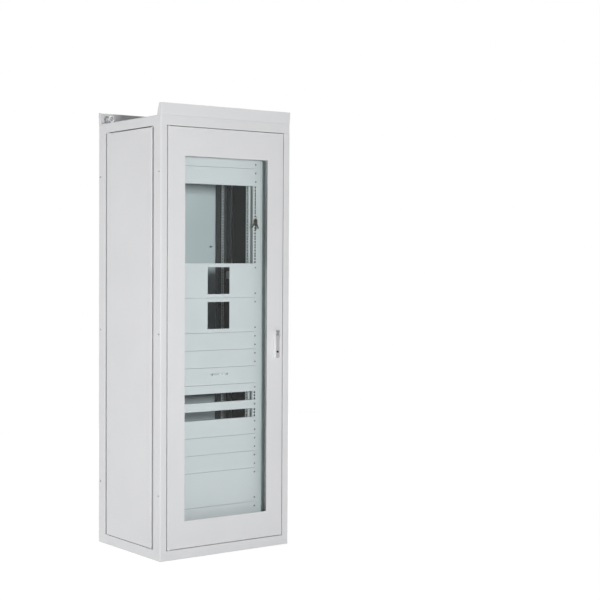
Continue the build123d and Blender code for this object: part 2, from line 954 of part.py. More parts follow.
def lock_plate():
    """Backing plate, widest beside the spindle, with a round hole for it."""
    flare = lock_plate_flare_width / 2
    side = lock_plate_width / 2
    shape = polygon(both_sides((
        (lock_plate_top_width / 2, lock_plate_above),
        (flare, -lock_plate_flare_drop),
        (side, -lock_plate_above),
        (side, -lock_plate_below),
    )))
    shape = blended(shape, lock_plate_corner, -lock_plate_below - past, -lock_plate_below + past)
    shape = blended(shape, lock_plate_blend, -lock_plate_above - past, 0)
    plate = upright(shape, lock_plate_thickness)
    plate = chamfer(plate.faces().sort_by(Axis.Y)[0].edges(), lock_plate_edge)
    start = (0, -lock_plate_thickness - past, 0)
    hole = rod(spindle_radius + spindle_clearance, start, (0, 1, 0), lock_plate_thickness + 2 * past)
    return plate - hole


def lock_lever():
    """Lever: a fork about the head, a slight waist and a foot with the key bore."""
    fork = lever_fork_width / 2
    waist = lever_waist_width / 2
    foot = lever_foot_width / 2
    slot = lever_slot_width / 2
    shape = polygon(both_sides((
        (fork, fork_round),
        (fork, -lever_fork_length),
        (waist, -lever_waist_start),
        (waist, -lever_waist_end),
        (foot, -lever_foot_start),
        (foot, -lever_length),
    )))
    shape = blended(shape, lever_blend, -lever_foot_start - past, 0)
    shape = blended(shape, lever_corner, -lever_length - past, -lever_length + past)
    lever = Pos(0, lever_back, 0) * upright(shape, lever_thickness)
    lever = round_edges(lever, fork_round)
    y0 = lever_front - past
    gap = block(-slot, slot, y0, lever_back + past, -fork_round - head_gap, fork_round + past)
    bore = rod(plug_radius + plug_clearance, (0, y0, -plug_drop), (0, 1, 0), plug_length + past)
    start = (-fork - past, lever_middle, 0)
    pin_hole = rod(lever_pin_radius + plug_clearance, start, (1, 0, 0), lever_fork_width + 2 * past)
    return lever - gap - bore - pin_hole


def lock_spindle():
    """Head with the lever's cross pin, round neck through the door, and a square end for the cam."""
    half = head_width / 2
    crown = head_top_width / 2
    shape = polygon(both_sides((
        (crown, lock_plate_above - head_top_setback),
        (crown, fork_round + head_gap),
        (half, fork_round + head_gap),
        (half, -fork_round),
    )))
    head = Pos(0, lever_back, 0) * upright(shape, lever_thickness)
    head = round_edges(head, -fork_round)
    neck = rod(spindle_radius, (0, lever_back - past, 0), (0, 1, 0), cam_depth - lever_back + past)
    half = spindle_square / 2
    square = block(-half, half, cam_depth - past, cam_depth + cam_thickness + spindle_tail, -half, half)
    pin = rod(lever_pin_radius, (-lever_fork_width / 2, lever_middle, 0), (1, 0, 0), lever_fork_width)
    return fuse([head, neck, square, pin])


def lock_cam(reach):
    """Flat tongue on the spindle's square end, pointing up while it is released."""
    half = cam_width / 2
    y1 = cam_depth + cam_thickness
    tongue = block(-half, half, cam_depth, y1, -half, reach)
    tongue = chamfer(tongue.edges().filter_by(Axis.Y), cam_corner)
    s = spindle_square / 2 + cam_fit
    return tongue - block(-s, s, cam_depth - past, y1 + past, -s, s)


def key_plug():
    """Lock cylinder's plug in the lever's foot, with its key slot."""
    start = lever_front - plug_proud
    plug = rod(plug_radius, (0, start, -plug_drop), (0, 1, 0), plug_length + plug_proud)
    w = key_slot_width / 2
    h = key_slot_height / 2
    return plug - block(-w, w, start - past, start + key_slot_depth, -plug_drop - h, -plug_drop + h)


def lock_parts(reach):
    return {
        "lock_plate": lock_plate(),
        "lock_spindle": lock_spindle(),
        "lock_cam": lock_cam(reach),
        "lock_lever": lock_lever(),
        "key_plug": key_plug(),
    }


# Spare keys

def key_ring_centre():
    """The ring passes through two neighbouring rail holes and rests on the upper one's edge."""
    heights = hole_heights(rail_hole_offsets)
    lower = min(range(len(heights) - 1), key=lambda index: abs(heights[index] - key_hole_height))
    half_chord = (heights[lower + 1] - heights[lower]) / 2
    set_off = math.sqrt(key_ring_radius ** 2 - half_chord ** 2)
    rear = set_off + rail_sheet / 2
    wire_low = math.sqrt(key_ring_radius ** 2 - rear ** 2) - key_wire_radius * key_ring_radius / half_chord
    seat = half_chord - rail_hole / 2
    drop = wire_low - seat - key_seat_gap
    z = heights[lower] + half_chord - drop
    return rail_hole_spacing / 2, -rail_face + rail_sheet / 2 - set_off, z


def key_ring():
    """Wire ring in a plane across the rail's flange."""
    ring = bent_ring(key_ring_radius, key_wire_radius, key_ring_segment_count, wire_sides)
    return Pos(*key_ring_centre()) * Rot(0, 90, 0) * ring


def door_key():
    """Key with its bow's eye at the origin and its blade hanging down."""
    half = key_bow_width / 2
    t = key_bow_thickness / 2
    foot = key_bow_shoulder - key_bow_height
    bow = block(-half, half, -t, t, foot, key_bow_shoulder)
    bow = chamfer(bow.edges().filter_by(Axis.Y), key_bow_corner)
    start = (0, -t - past, 0)
    bow = bow - many_sided(key_eye_radius, light_hole_sides, start, (0, 1, 0), key_bow_thickness + 2 * past)
    w = key_blade_width / 2
    t = key_blade_thickness / 2
    blade = block(-w, w, -t, t, foot - key_blade_length, foot + key_blade_root)
    return fuse([bow, blade])


def door_keys():
    """Keys side by side on the lowest part of the ring, each turned a little."""
    x, y, z = key_ring_centre()
    keys = []
    for index, angle in enumerate(key_angles):
        offset = (index - (len(key_angles) - 1) / 2) * key_spacing
        outer = abs(offset) + key_bow_thickness / 2
        wire = math.sqrt(key_ring_radius ** 2 - outer ** 2)
        top = -wire + key_wire_radius * key_ring_radius / wire
        eye = z + top + key_seat_gap - key_eye_radius
        keys.append(Pos(x, y + offset, eye) * Rot(0, angle, 0) * door_key())
    return keys


# Everything, by node name

def build_nodes():
    nodes = {}
    nodes["base_frame"] = base_frame()
    nodes["top_frame"] = top_frame()
    post = corner_post()
    for name, side_x, side_y in (
        ("post_front_left", -1, -1),
        ("post_front_right", 1, -1),
        ("post_rear_left", -1, 1),
        ("post_rear_right", 1, 1),
    ):
        nodes[name] = mirrored(post, side_x, side_y)
    panel = side_panel()
    nodes["side_panel_left"] = Pos(-half_width, 0, 0) * Rot(0, 0, -90) * panel
    nodes["side_panel_right"] = Pos(half_width, 0, 0) * Rot(0, 0, 90) * panel
    nodes["roof_panel"] = roof_panel()
    nodes["floor_panel"] = floor_panel()
    nodes["header_front"] = header()
    nodes["header_rear"] = mirror(header(), about=Plane.XZ)
    eye = lifting_eye()
    nodes["lifting_eyes"] = Compound([Pos(x, y, body_height) * eye for x, y in eye_places()])
    front_rail = holed_rail(rail_face, rail_web_front, rail_hole_offsets)
    rear_rail = mirrored(holed_rail(rear_rail_face, rear_rail_web_front, rail_hole_offsets[1:2]), 1, 1)
    nodes["rack_rail_front_right"] = front_rail
    nodes["rack_rail_front_left"] = mirrored(front_rail, -1)
    nodes["rack_rail_rear_right"] = rear_rail
    nodes["rack_rail_rear_left"] = mirrored(rear_rail, -1)
    nodes["depth_braces"] = Compound(braces())
    nodes["rail_brackets"] = Compound(rail_brackets())
    nodes["filler_strip_right"] = filler_strip()
    nodes["filler_strip_left"] = mirrored(filler_strip(), -1)
    number = 0
    for kind, units, z in stack_places():
        if kind in ("blank", "cutout"):
            number += 1
            make = panel_blank if kind == "blank" else panel_cutout
            nodes[f"panel_{number:02d}_{kind}_{units}u"] = make(units, z)
    nodes["drawer_front"] = drawer_front()
    nodes["drawer_tray"] = drawer_tray()
    nodes["drawer_pull"] = drawer_pull()
    nodes["runner_channels"] = Compound(runner_channels())
    nodes["runner_slides"] = Compound(runner_slides())
    nodes["key_ring"] = key_ring()
    nodes["door_keys"] = Compound(door_keys())
    nodes["door_pivot_pins"] = Compound(pivot_pins())
    nodes["front_door_frame"] = front_door_frame()
    nodes["front_door_gasket"] = window_gasket()
    nodes["front_door_glass"] = door_glass()
    nodes["front_glass_clips"] = Compound(glass_clips())
    nodes["front_door_stiffeners"] = Compound(door_stiffeners())
    nodes["rear_door_left"] = rear_leaf(1)
    nodes["rear_door_right"] = rear_leaf(-1)
    height = Pos(0, 0, lock_height_above_floor)
    for name, part in lock_parts(front_cam_reach).items():
        nodes[f"front_{name}"] = on_front(Pos(front_lock_x, 0, 0) * height * part)
    for name, part in lock_parts(rear_cam_reach).items():
        nodes[f"rear_{name}"] = on_rear(Pos(rear_lock_inset, 0, 0) * height * part)
    return nodes


for node_name, node_shape in build_nodes().items():
    export_step(node_shape, f"parts/{node_name}.step")
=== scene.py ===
import math

import bmesh
import bpy
from mathutils import Matrix, Vector


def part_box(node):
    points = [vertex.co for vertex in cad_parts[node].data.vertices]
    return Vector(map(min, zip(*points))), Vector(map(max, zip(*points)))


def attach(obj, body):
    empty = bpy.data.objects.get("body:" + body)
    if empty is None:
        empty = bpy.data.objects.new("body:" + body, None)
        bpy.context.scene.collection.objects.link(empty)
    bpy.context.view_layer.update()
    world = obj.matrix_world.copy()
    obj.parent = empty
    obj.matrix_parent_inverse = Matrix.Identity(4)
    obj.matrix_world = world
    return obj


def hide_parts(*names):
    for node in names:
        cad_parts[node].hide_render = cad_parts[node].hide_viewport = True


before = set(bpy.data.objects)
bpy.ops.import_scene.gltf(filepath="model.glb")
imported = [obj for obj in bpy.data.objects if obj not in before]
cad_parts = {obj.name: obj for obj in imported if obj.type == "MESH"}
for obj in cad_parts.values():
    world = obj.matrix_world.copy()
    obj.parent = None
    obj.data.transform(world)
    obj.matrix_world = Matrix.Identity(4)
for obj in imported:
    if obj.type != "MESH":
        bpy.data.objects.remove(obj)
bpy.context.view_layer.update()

# The camera stands low and to the left of the cabinet, as the photographer did,
# with a slight roll. The cabinet is off the picture's middle, so the lens is shifted.
camera_turn = -0.59996
camera_rise = 0.030664
camera_roll = 0.003102
camera_distance = 7.0858
camera_target = Vector((0.02319, 0.0, 1.25622))
look_back = Vector((
    math.sin(camera_turn) * math.cos(camera_rise),
    -math.cos(camera_turn) * math.cos(camera_rise),
    math.sin(camera_rise),
))
level_right = (-look_back).cross(Vector((0, 0, 1))).normalized()
level_up = level_right.cross(-look_back)
camera_x = math.cos(camera_roll) * level_right + math.sin(camera_roll) * level_up
camera_y = -math.sin(camera_roll) * level_right + math.cos(camera_roll) * level_up
camera_place = camera_target + look_back * camera_distance
camera_data = bpy.data.cameras.new("camera")
camera_data.sensor_width = 36.0
camera_data.lens = 80.762
camera_data.shift_x = 0.17135
camera_data.shift_y = 0.00775
camera_data.clip_end = 60.0
camera = bpy.data.objects.new("camera", camera_data)
bpy.context.scene.collection.objects.link(camera)
camera_axes = Matrix((camera_x, camera_y, look_back)).transposed().to_4x4()
camera.matrix_world = Matrix.Translation(camera_place) @ camera_axes
bpy.context.scene.camera = camera

# Studio light: a dim even dome, a small main lamp in front at the camera's height,
# and large fill lamps at both sides, behind and above.
# What the camera, metal and glass see of the surroundings is plain white.
dome_strength = 0.11
scene = bpy.context.scene
scene.view_settings.view_transform = 'Standard'
world = bpy.data.worlds.new("studio")
scene.world = world
world.use_nodes = True
nodes, links = world.node_tree.nodes, world.node_tree.links
nodes.clear()
seen_white = nodes.new("ShaderNodeBackground")
seen_white.inputs["Strength"].default_value = 1.0
seen_white.inputs["Color"].default_value = (1, 1, 1, 1)
dome = nodes.new("ShaderNodeBackground")
dome.inputs["Strength"].default_value = dome_strength
dome.inputs["Color"].default_value = (1, 1, 1, 1)
world_out = nodes.new("ShaderNodeOutputWorld")


def seen_directly(nodes, links):
    """1 for rays from the camera, off metal or through glass, and 0 for light between surfaces."""
    path = nodes.new("ShaderNodeLightPath")
    first = nodes.new("ShaderNodeMath")
    first.operation = 'MAXIMUM'
    second = nodes.new("ShaderNodeMath")
    second.operation = 'MAXIMUM'
    links.new(path.outputs["Is Camera Ray"], first.inputs[0])
    links.new(path.outputs["Is Glossy Ray"], first.inputs[1])
    links.new(first.outputs[0], second.inputs[0])
    links.new(path.outputs["Is Transmission Ray"], second.inputs[1])
    return second.outputs[0]


either = nodes.new("ShaderNodeMixShader")
links.new(seen_directly(nodes, links), either.inputs["Fac"])
links.new(dome.outputs[0], either.inputs[1])
links.new(seen_white.outputs[0], either.inputs[2])
links.new(either.outputs[0], world_out.inputs["Surface"])


def soft_lamp(name, place, aim, across, watts):
    """A large square lamp at a place, turned to shine at a point."""
    data = bpy.data.lights.new(name, 'AREA')
    data.shape = 'SQUARE'
    data.size = across
    data.energy = watts
    lamp = bpy.data.objects.new(name, data)
    bpy.context.scene.collection.objects.link(lamp)
    turn = (Vector(aim) - Vector(place)).to_track_quat('-Z', 'Y').to_matrix().to_4x4()
    lamp.matrix_world = Matrix.Translation(place) @ turn
    lamp.visible_glossy = False


middle = (0.0, 0.0, 1.1)
soft_lamp("key", (-1.42, -5.55, 1.83), middle, 0.7, 205)
soft_lamp("left", (-5.8, 0.25, 1.6), middle, 2.6, 170)
soft_lamp("right", (5.6, 0.6, 1.6), middle, 2.6, 70)
soft_lamp("behind", (2.5, 5.5, 2.4), middle, 3.2, 180)
soft_lamp("above", (0.0, 0.6, 6.2), middle, 2.4, 48)

# The floor is a pale sheet, as wide as the lamps light it well.
# Seen directly it is white, apart from the soft shadow where the cabinet stands.
bpy.ops.mesh.primitive_plane_add(size=9, location=(0, 0, -0.0006))
floor = bpy.context.object
floor.name = "studio_floor"
pale = bpy.data.materials.new("studio_floor")
pale.use_nodes = True
nodes, links = pale.node_tree.nodes, pale.node_tree.links
nodes.clear()
sheet = nodes.new("ShaderNodeBsdfDiffuse")
sheet.inputs["Color"].default_value = (0.84, 0.84, 0.84, 1)
shaded = nodes.new("ShaderNodeBsdfDiffuse")
shaded.inputs["Color"].default_value = (0.22, 0.22, 0.22, 1)
glow = nodes.new("ShaderNodeEmission")
glow.inputs["Strength"].default_value = 0.86
bright = nodes.new("ShaderNodeAddShader")
links.new(shaded.outputs[0], bright.inputs[0])
links.new(glow.outputs[0], bright.inputs[1])
either = nodes.new("ShaderNodeMixShader")
links.new(seen_directly(nodes, links), either.inputs["Fac"])
links.new(sheet.outputs[0], either.inputs[1])
links.new(bright.outputs[0], either.inputs[2])
out = nodes.new("ShaderNodeOutputMaterial")
links.new(either.outputs[0], out.inputs["Surface"])
floor.data.materials.append(pale)


# The welded frame: base ring, top ring and four corner posts, each folded from 2 mm sheet.
# The bends are rounded as a press brake leaves them, and all of it has a light grey powder coat.
# The posts' inner side faces carry painted shade: a near-black coat for the unlit inside.
def start_finish(name):
    """A new material, its main shader and the object's own coordinates."""
    finish = bpy.data.materials.new(name)
    finish.use_nodes = True
    tree = finish.node_tree
    coordinates = tree.nodes.new("ShaderNodeTexCoord").outputs["Object"]
    return finish, tree, tree.nodes["Principled BSDF"], coordinates


def noise(tree, coordinates, scale, detail, stretch=(1, 1, 1)):
    """Cloudy pattern in the object's own space, drawn out along an axis where asked."""
    mapping = tree.nodes.new("ShaderNodeMapping")
    mapping.inputs["Scale"].default_value = stretch
    pattern = tree.nodes.new("ShaderNodeTexNoise")
    pattern.inputs["Scale"].default_value = scale
    pattern.inputs["Detail"].default_value = detail
    tree.links.new(coordinates, mapping.inputs["Vector"])
    tree.links.new(mapping.outputs[0], pattern.inputs["Vector"])
    return pattern.outputs["Fac"]


def between(tree, fac, first, second):
    """A colour that runs from first to second with the pattern."""
    ramp = tree.nodes.new("ShaderNodeValToRGB")
    ramp.color_ramp.elements[0].position = 0.35
    ramp.color_ramp.elements[0].color = (*first, 1)
    ramp.color_ramp.elements[1].position = 0.65
    ramp.color_ramp.elements[1].color = (*second, 1)
    tree.links.new(fac, ramp.inputs["Fac"])
    return ramp.outputs["Color"]


def spread(tree, fac, low, high):
    """A number that runs from low to high with the pattern."""
    scale = tree.nodes.new("ShaderNodeMapRange")
    scale.inputs["From Min"].default_value = 0.3
    scale.inputs["From Max"].default_value = 0.7
    scale.inputs["To Min"].default_value = low
    scale.inputs["To Max"].default_value = high
    tree.links.new(fac, scale.inputs["Value"])
    return scale.outputs["Result"]


def relief(tree, shader, fac, strength, distance):
    """Fine relief on the surface."""
    bump = tree.nodes.new("ShaderNodeBump")
    bump.inputs["Strength"].default_value = strength
    bump.inputs["Distance"].default_value = distance
    tree.links.new(fac, bump.inputs["Height"])
    tree.links.new(bump.outputs["Normal"], shader.inputs["Normal"])


def powder_coat(name, dark, light):
    """Baked powder paint: an even colour, slight clouding and fine orange peel."""
    finish, tree, shader, coordinates = start_finish(name)
    cloud = noise(tree, coordinates, 2.6, 4.0)
    tree.links.new(between(tree, cloud, dark, light), shader.inputs["Base Color"])
    handling = noise(tree, coordinates, 34.0, 3.0)
    tree.links.new(spread(tree, handling, 0.40, 0.56), shader.inputs["Roughness"])
    peel = noise(tree, coordinates, 620.0, 2.0)
    relief(tree, shader, peel, 0.22, 0.0004)
    shader.inputs["IOR"].default_value = 1.5
    return finish


def pick_alone(piece):
    """Leave one object selected and active."""
    bpy.ops.object.select_all(action='DESELECT')
    piece.select_set(True)
    bpy.context.view_layer.objects.active = piece


def body_copy(node, name):
    """A copy of a CAD node's mesh with its doubled points merged and its flat faces whole."""
    piece = bpy.data.objects.new(name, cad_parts[node].data.copy())
    bpy.context.scene.collection.objects.link(piece)
    piece.data.materials.clear()
    pick_alone(piece)
    bpy.ops.mesh.customdata_custom_splitnormals_clear()
    bpy.ops.object.mode_set(mode='EDIT')
    bpy.ops.mesh.select_all(action='SELECT')
    bpy.ops.mesh.remove_doubles(threshold=0.000002)
    bpy.ops.mesh.dissolve_limited(angle_limit=0.002)
    bpy.ops.object.mode_set(mode='OBJECT')
    return piece


def face_width(face):
    """Width of a strip, or half the side of a square."""
    return 2 * face.calc_area() / sum(edge.calc_length() for edge in face.edges)


def select_folds(piece, outer):
    """In edit mode, select the corners between two broad faces: outer ones or inner ones."""
    wider_than_sheet = 0.0032
    least_bend = math.radians(20)
    bpy.ops.mesh.select_all(action='DESELECT')
    mesh = bmesh.from_edit_mesh(piece.data)
    found = 0
    for edge in mesh.edges:
        faces = edge.link_faces
        if len(faces) != 2 or min(face_width(face) for face in faces) < wider_than_sheet:
            continue
        bend = edge.calc_face_angle_signed()
        if abs(bend) > least_bend and (bend > 0) == outer:
            edge.select = True
            found += 1
    bmesh.update_edit_mesh(piece.data)
    return found


def smooth_bends(piece):
    """Shade bends as round and keep flat faces flat."""
    pick_alone(piece)
    bpy.ops.object.shade_smooth_by_angle(angle=math.radians(40))
    even = piece.modifiers.new("even", 'WEIGHTED_NORMAL')
    even.keep_sharp = True
    bpy.ops.object.modifier_apply(modifier="even")


def folded(node, name, finish, outside, inside):
    """A folded sheet part: the CAD shape with its bends rounded inside and outside."""
    piece = body_copy(node, name)
    bpy.ops.object.mode_set(mode='EDIT')
    for radius, outer in ((outside, True), (inside, False)):
        if radius and select_folds(piece, outer):
            bpy.ops.mesh.bevel(offset=radius, segments=3, affect='EDGES', clamp_overlap=False)
    bpy.ops.object.mode_set(mode='OBJECT')
    smooth_bends(piece)
    piece.data.materials.append(finish)
    return piece


def in_place_of(piece, node, body):
    """Stand for a CAD node, on its body."""
    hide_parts(node)
    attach(piece, body)


def select_faces(piece, test):
    """In edit mode, select the faces that pass a test of their centre and normal."""
    bpy.ops.mesh.select_mode(type='FACE')
    bpy.ops.mesh.select_all(action='DESELECT')
    mesh = bmesh.from_edit_mesh(piece.data)
    for face in mesh.faces:
        if test(face.calc_center_median(), face.normal):
            face.select = True
    mesh.select_flush_mode()
    bmesh.update_edit_mesh(piece.data)


def paint_where(piece, finish, test):
    """Give a second finish to the faces that pass a test of their centre and normal."""
    piece.data.materials.append(finish)
    pick_alone(piece)
    piece.active_material_index = len(piece.data.materials) - 1
    bpy.ops.object.mode_set(mode='EDIT')
    select_faces(piece, test)
    bpy.ops.object.material_slot_assign()
    bpy.ops.object.mode_set(mode='OBJECT')


cabinet_coat = powder_coat("cabinet_powder_coat", (0.676, 0.680, 0.690), (0.694, 0.698, 0.708))
# The near-black coat is painted shade, laid on inner faces that stay unlit inside the cabinet.
shade_coat = powder_coat("painted_shade_coat", (0.050, 0.055, 0.055), (0.070, 0.076, 0.076))
outer_walls_from = 0.384
frame_parts = (
    ("base_frame", "base_ring"),
    ("top_frame", "top_ring"),
    ("post_front_left", "front_left_upright"),
    ("post_front_right", "front_right_upright"),
    ("post_rear_left", "rear_left_upright"),
    ("post_rear_right", "rear_right_upright"),
)
for node, name in frame_parts:
    piece = folded(node, name, cabinet_coat, 0.0026, 0.0006)
    if node.startswith("post"):
        side = 1 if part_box(node)[1].x > 0 else -1
        # Painted shade: the posts' inner side faces are coloured near-black.
        paint_where(piece, shade_coat, lambda centre, normal:
                    normal.x * side < -0.5 and abs(centre.x) > outer_walls_from)
    in_place_of(piece, node, "cabinet")

# Covers of 1.5 mm sheet with the same coat: two side panels that sit between the posts,
# the roof, the floor with its cable entry, and a leaning header at the front and at the rear.
cover_parts = (
    ("side_panel_left", "left_side_cover"),
    ("side_panel_right", "right_side_cover"),
    ("roof_panel", "roof_sheet"),
    ("floor_panel", "floor_sheet"),
    ("header_front", "front_header_sheet"),
    ("header_rear", "rear_header_sheet"),
)
for node, name in cover_parts:
    piece = folded(node, name, cabinet_coat, 0.0022, 0.0007)
    in_place_of(piece, node, "cabinet")


# A near-black sheet inside each side panel is painted shade, for the unlit inside of the cabinet.
# It is cut to fit between the folds, and its edges are pressed down.
def settle(piece):
    """Put the object's place, turn and scale into its mesh."""
    pick_alone(piece)
    bpy.ops.object.transform_apply(location=True, rotation=True, scale=True)


# The sheet's near-black colour, with a fine fibrous grain, is painted shade.
shade_sheet_finish, tree, shader, coordinates = start_finish("painted_shade_sheet_finish")
sheet_grain = noise(tree, coordinates, 900.0, 4.0, (1, 1, 0.35))
shade_sheet_colour = between(tree, sheet_grain, (0.030, 0.030, 0.031), (0.058, 0.057, 0.058))
tree.links.new(shade_sheet_colour, shader.inputs["Base Color"])
tree.links.new(spread(tree, sheet_grain, 0.84, 0.98), shader.inputs["Roughness"])
relief(tree, shader, sheet_grain, 0.6, 0.0008)
shader.inputs["Sheen Weight"].default_value = 0.12
shade_sheet_outer = 0.3984
shade_sheet_inner = 0.3945
shade_sheet_margins = 0.034
for side, node in ((-1, "side_panel_left"), (1, "side_panel_right")):
    low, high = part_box(node)
    place = (side * (shade_sheet_outer + shade_sheet_inner) / 2, 0, (low.z + high.z) / 2)
    bpy.ops.object.select_all(action='DESELECT')
    bpy.ops.mesh.primitive_cube_add(size=1, location=place)
    shade_sheet = bpy.context.object
    shade_sheet.name = ("left" if side < 0 else "right") + "_painted_shade_sheet"
    shade_sheet.scale = (shade_sheet_outer - shade_sheet_inner, high.y - low.y - shade_sheet_margins, high.z - low.z - shade_sheet_margins)
    settle(shade_sheet)
    bpy.ops.object.mode_set(mode='EDIT')
    bpy.ops.mesh.select_all(action='DESELECT')
    mesh = bmesh.from_edit_mesh(shade_sheet.data)
    for edge in mesh.edges:
        edge.select = all(abs(corner.co.x) < shade_sheet_inner + 0.0002 for corner in edge.verts)
    bmesh.update_edit_mesh(shade_sheet.data)
    bpy.ops.mesh.bevel(offset=0.0025, segments=3, affect='EDGES')
    bpy.ops.object.mode_set(mode='OBJECT')
    shade_sheet.data.materials.append(shade_sheet_finish)
    smooth_bends(shade_sheet)
    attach(shade_sheet, "cabinet")


# Four forged lifting eyes, screwed through the roof and the gussets of the top ring.
# Each has a turned collar, a neck that grows into the ring, and a nut below the gusset.
def plated(name, dark, light, rough, grain):
    """Bare or plated metal with fine streaks."""
    finish, tree, shader, coordinates = start_finish(name)
    streak = noise(tree, coordinates, grain, 4.0)
    tree.links.new(between(tree, streak, dark, light), shader.inputs["Base Color"])
    tree.links.new(spread(tree, streak, rough - 0.06, rough + 0.06), shader.inputs["Roughness"])
    relief(tree, shader, streak, 0.1, 0.0002)
    shader.inputs["Metallic"].default_value = 1.0
    return finish


def cylinder(sides, radius, depth, height):
    """A cylinder or prism on the upright axis, its middle at a height."""
    bpy.ops.object.select_all(action='DESELECT')
    bpy.ops.mesh.primitive_cylinder_add(vertices=sides, radius=radius, depth=depth, location=(0, 0, height))
    piece = bpy.context.object
    settle(piece)
    return piece


def chamfer(piece, width, segments, test):
    """Break the edges of the faces that pass a test of their centre and normal."""
    pick_alone(piece)
    bpy.ops.object.mode_set(mode='EDIT')
    select_faces(piece, test)
    bpy.ops.mesh.bevel(offset=width, segments=segments, affect='EDGES')
    bpy.ops.object.mode_set(mode='OBJECT')


def join(pieces, name):
    """One object from several."""
    bpy.ops.object.select_all(action='DESELECT')
    for piece in pieces:
        piece.select_set(True)
    bpy.context.view_layer.objects.active = pieces[0]
    bpy.ops.object.join()
    joined = bpy.context.object
    joined.name = name
    return joined


def moved_copy(piece, move):
    """A copy with its own mesh, moved or turned in the mesh."""
    copy = bpy.data.objects.new(piece.name, piece.data.copy())
    copy.data.transform(move)
    bpy.context.scene.collection.objects.link(copy)
    return copy


eye_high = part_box("lifting_eyes")[1]
roof_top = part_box("roof_panel")[1].z
ring_half_width = 0.01916
ring_half_depth = 0.01139
ring_reach_up = 0.0196
eye_x = eye_high.x - ring_half_width
eye_y = eye_high.y - ring_half_depth
bright_steel = plated("bright_zinc_steel", (0.62, 0.63, 0.65), (0.82, 0.83, 0.84), 0.24, 90.0)
collar = cylinder(40, 0.0108, 0.005, roof_top + 0.0025)
bpy.ops.object.mode_set(mode='EDIT')
select_faces(collar, lambda centre, normal: normal.z > 0.9)
bpy.ops.mesh.inset(thickness=0.0035)
bpy.ops.mesh.extrude_region_move(TRANSFORM_OT_translate={"value": (0, 0, 0.003)})
bpy.ops.transform.resize(value=(0.62, 0.62, 1), center_override=(0, 0, 0))
bpy.ops.mesh.extrude_region_move(TRANSFORM_OT_translate={"value": (0, 0, 0.003)})
bpy.ops.mesh.select_all(action='DESELECT')
bpy.ops.object.mode_set(mode='OBJECT')
bpy.ops.object.select_all(action='DESELECT')
bpy.ops.mesh.primitive_torus_add(
    major_radius=0.015, minor_radius=0.0044, major_segments=56, minor_segments=20,
    location=(0, 0, eye_high.z - ring_reach_up), rotation=(math.pi / 2, 0, math.radians(12)),
)
ring = bpy.context.object
settle(ring)
shank = cylinder(24, 0.005, 0.0215, roof_top - 0.0107)
chamfer(shank, 0.0008, 2, lambda centre, normal: normal.z < -0.9)
nut = cylinder(6, 0.0098, 0.008, roof_top - 0.0117)
chamfer(nut, 0.0009, 2, lambda centre, normal: abs(normal.z) > 0.9)
eye = join([collar, ring, shank, nut], "lifting_eye_bolts")
places = [(side_x * eye_x, side_y * eye_y) for side_x in (-1, 1) for side_y in (-1, 1)]
eyes = [moved_copy(eye, Matrix.Translation((x, y, 0))) for x, y in places]
bpy.data.objects.remove(eye)
eyes = join(eyes, "lifting_eye_bolts")
smooth_bends(eyes)
eyes.data.materials.append(bright_steel)
in_place_of(eyes, "lifting_eyes", "cabinet")

# The rack's folded rails have square holes at every panel height, in the flange and in the web.
# The front ones carry a painted highlight, a near-white coat around the web's row of holes,
# and painted shade in the joggle beside it. The rear ones carry painted shade beside the row,
# and throw no shadow on the door behind them.
rail_coat = powder_coat("rail_powder_coat", (0.662, 0.676, 0.676), (0.698, 0.712, 0.712))
# The near-white web coat is painted light, for the lit strip around the web's row of holes.
lit_web_coat = powder_coat("painted_light_web_coat", (0.880, 0.890, 0.890), (0.910, 0.920, 0.920))
rack_unit = 0.04445
holes_in_unit = (0.00635, 0.022225, 0.0381)
rail_units = 43
rail_overrun = 0.025
web_hole = 0.0095
web_x = 0.221
row_half_width = 0.012
joggle_y = -0.162
rail_parts = (
    ("rack_rail_front_left", "front_left_rail", -0.173),
    ("rack_rail_front_right", "front_right_rail", -0.173),
    ("rack_rail_rear_left", "rear_left_rail", 0.047),
    ("rack_rail_rear_right", "rear_right_rail", 0.047),
)
for node, name, row_y in rail_parts:
    piece = folded(node, name, rail_coat, 0.0012, 0.0005)
    low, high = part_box(node)
    side = 1 if high.x > 0 else -1
    bpy.ops.object.select_all(action='DESELECT')
    bpy.ops.mesh.primitive_cube_add(size=web_hole, location=(side * web_x, 0, low.z + rail_overrun))
    punch = bpy.context.object
    settle(punch)
    heights = [rack_unit * unit + rise for unit in range(rail_units) for rise in holes_in_unit]
    punches = [moved_copy(punch, Matrix.Translation((0, row_y, z))) for z in heights]
    bpy.data.objects.remove(punch)
    punches = join(punches, "punches")
    pick_alone(piece)
    cut = piece.modifiers.new("cut", 'BOOLEAN')
    cut.object = punches
    cut.solver = 'EXACT'
    bpy.ops.object.modifier_apply(modifier="cut")
    bpy.data.objects.remove(punches)
    smooth_bends(piece)
    if "rear" in node:
        # Painted shade: the rear rails are coloured near-black, apart from the strip around the row of
        # holes.
        paint_where(piece, shade_coat, lambda centre, normal:
                    normal.x * side < 0.5 and abs(centre.y - row_y) > row_half_width)
        piece.visible_shadow = False
    else:
        # Painted shade in the joggle of the front rails' web.
        paint_where(piece, shade_coat, lambda centre, normal:
                    normal.y < -0.5 and abs(centre.y - joggle_y) < 0.001)
        # Painted light: the web around the row of holes is coloured near-white.
        paint_where(piece, lit_web_coat, lambda centre, normal:
                    normal.x * side < -0.9 and abs(centre.y - row_y) < row_half_width)
    in_place_of(piece, node, "cabinet")

# Tubes between the posts and angle brackets carry the rails.
# Grey strips close the gap beside the front rails, in a slightly darker, greener coat that is painted
# shade.
rack_coat = powder_coat("rack_powder_coat", (0.676, 0.674, 0.684), (0.710, 0.708, 0.718))
